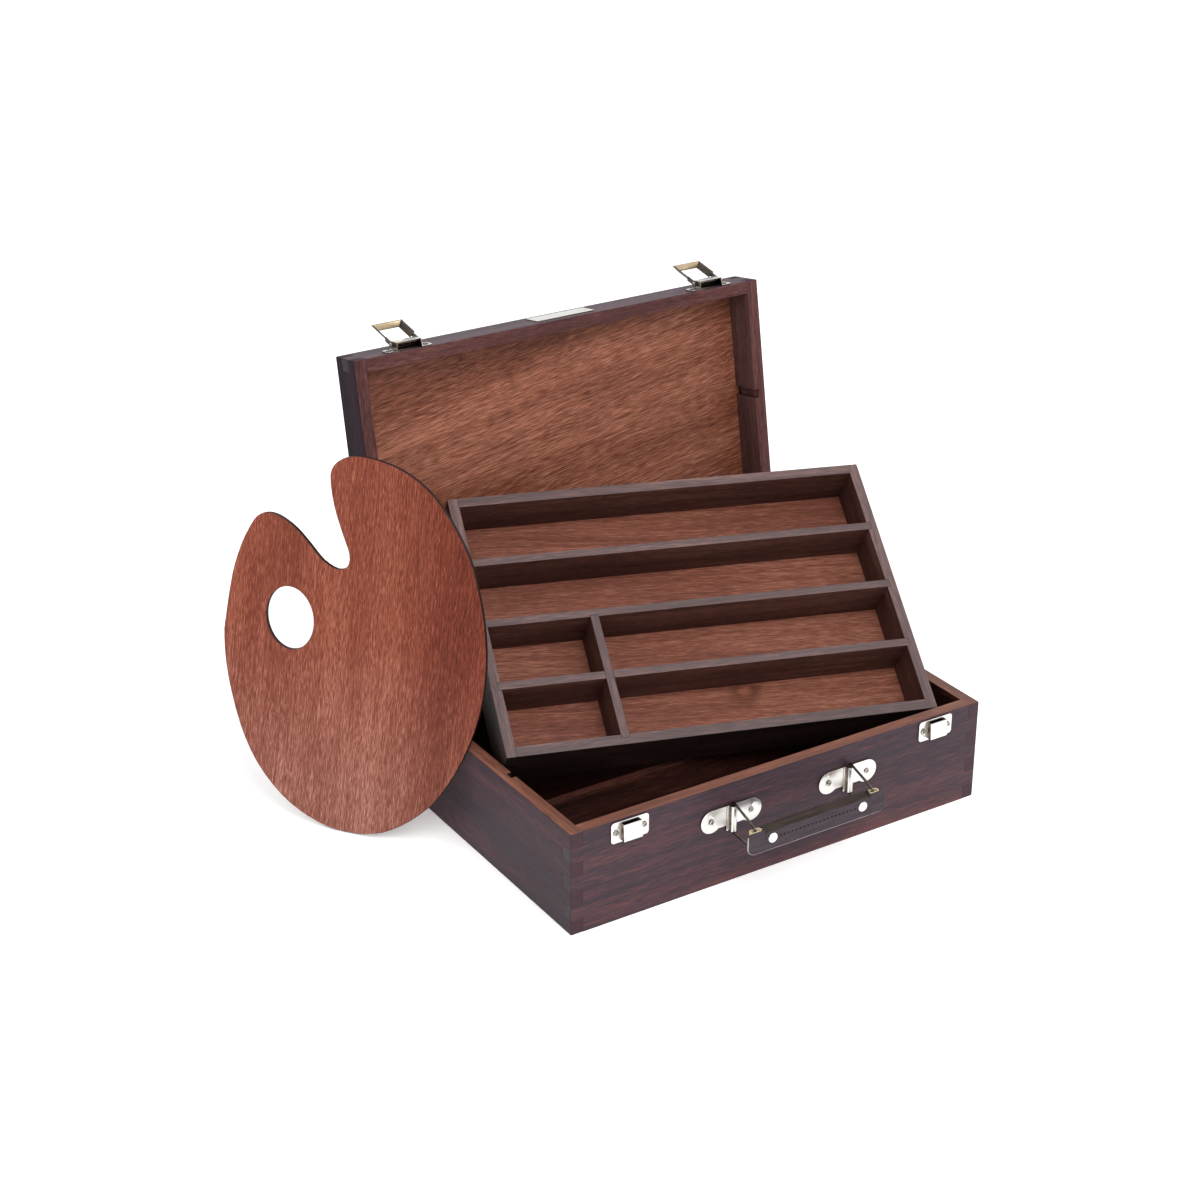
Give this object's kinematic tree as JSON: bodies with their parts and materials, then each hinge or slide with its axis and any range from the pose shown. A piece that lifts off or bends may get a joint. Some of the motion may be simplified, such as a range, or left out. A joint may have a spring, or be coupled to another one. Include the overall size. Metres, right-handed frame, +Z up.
{
  "type": "hinged wooden paint box",
  "caption": "Dark wooden brush and paint box with an open hinged lid, bail latches, a leather handle, a lift-out tray leaning in the base and a loose palette beside it.",
  "frame": {"origin": "middle of the base's underside", "axes": "+X to the right along the front, -Y out of the front, +Z up"},
  "size_m": [0.5591, 0.4157, 0.377],
  "materials": {
    "wood_dark": "satin stain",
    "wood_ply": "satin stain",
    "wood_tray": "satin stain",
    "wood_palette": "satin stain",
    "nickel": "bright nickel",
    "brass": "dull",
    "leather": "smooth"
  },
  "bodies": {
    "base": {"base_front": "wood_dark", "base_back": "wood_dark", "base_left": "wood_dark", "base_right": "wood_dark", "base_bottom": "wood_ply", "base_divider": "wood_dark", "catch_left": "nickel", "catch_right": "nickel", "catch_screws": "nickel", "handle_plate_left": "nickel", "handle_plate_right": "nickel", "handle_plate_screws": "nickel", "hinge_leaves_base": "nickel", "hinge_pins": "nickel", "hinge_screws_base": "nickel"},
    "ring_left": {"handle_ring_left": "nickel"},
    "ring_right": {"handle_ring_right": "nickel"},
    "handle": {"handle_core": "brass", "handle_grip": "leather", "handle_rivets": "nickel"},
    "lid": {"lid_front": "wood_dark", "lid_back": "wood_dark", "lid_left": "wood_dark", "lid_right": "wood_dark", "lid_panel": "wood_ply", "name_plate": "nickel", "name_plate_pins": "nickel", "latch_left": "nickel", "latch_right": "nickel", "latch_screws": "nickel", "latch_pins": "nickel", "hinge_leaves_lid": "nickel", "hinge_screws_lid": "nickel"},
    "bail_left": {"bail_left": "nickel"},
    "bail_right": {"bail_right": "nickel"},
    "tray": {"tray_front": "wood_tray", "tray_back": "wood_tray", "tray_left": "wood_tray", "tray_right": "wood_tray", "tray_bottom": "wood_ply", "tray_divider_front": "wood_tray", "tray_divider_middle": "wood_tray", "tray_divider_back": "wood_tray", "tray_cross_divider": "wood_tray"},
    "palette": {"palette": "wood_palette"}
  },
  "joints": [
    {"name": "lid_hinge", "type": "hinge", "parent": "base", "child": "lid", "pos_m": [0, 0.1417, 0.09], "axis": [-1, 0, 0], "range_deg": [-100, 0]},
    {"name": "bail_left_hinge", "type": "hinge", "parent": "lid", "child": "bail_left", "pos_m": [-0.147, 0.20158, 0.36914], "axis": [-1, 0, 0], "range_deg": [-160, 0]},
    {"name": "bail_right_hinge", "type": "hinge", "parent": "lid", "child": "bail_right", "pos_m": [0.153, 0.20158, 0.36914], "axis": [-1, 0, 0], "range_deg": [-160, 0]},
    {"name": "ring_left_hinge", "type": "hinge", "parent": "base", "child": "ring_left", "pos_m": [-0.052, -0.1419, 0.0605], "axis": [0, 0, 1], "range_deg": [-45, 55]},
    {"name": "ring_right_hinge", "type": "hinge", "parent": "base", "child": "ring_right", "pos_m": [0.063, -0.1419, 0.0605], "axis": [0, 0, 1], "range_deg": [-45, 55]},
    {"name": "handle_pivot", "type": "hinge", "parent": "ring_left", "child": "handle", "pos_m": [-0.05496, -0.17577, 0.058], "axis": [0, 0, 1], "range_deg": [-55, 45]},
    {"name": "tray_swing", "type": "hinge", "parent": "base", "child": "tray", "pos_m": [-0.04805, -0.20907, 0], "axis": [0.9746, -0.224, 0], "range_deg": [0, 145.9]},
    {"name": "palette_tip", "type": "hinge", "parent": "base", "child": "palette", "pos_m": [-0.2683, 0.0794, 0.00101], "axis": [0.5878, -0.809, 0], "range_deg": [0, 98.9]}
  ],
  "couplings": [
    {"joint": "ring_right_hinge", "follows": "ring_left_hinge", "ratio": 1},
    {"joint": "handle_pivot", "follows": "ring_left_hinge", "ratio": -1},
    {"joint": "tray_swing", "follows": "lid_hinge", "ratio": -1.4586},
    {"joint": "palette_tip", "follows": "lid_hinge", "ratio": -0.988}
  ]
}
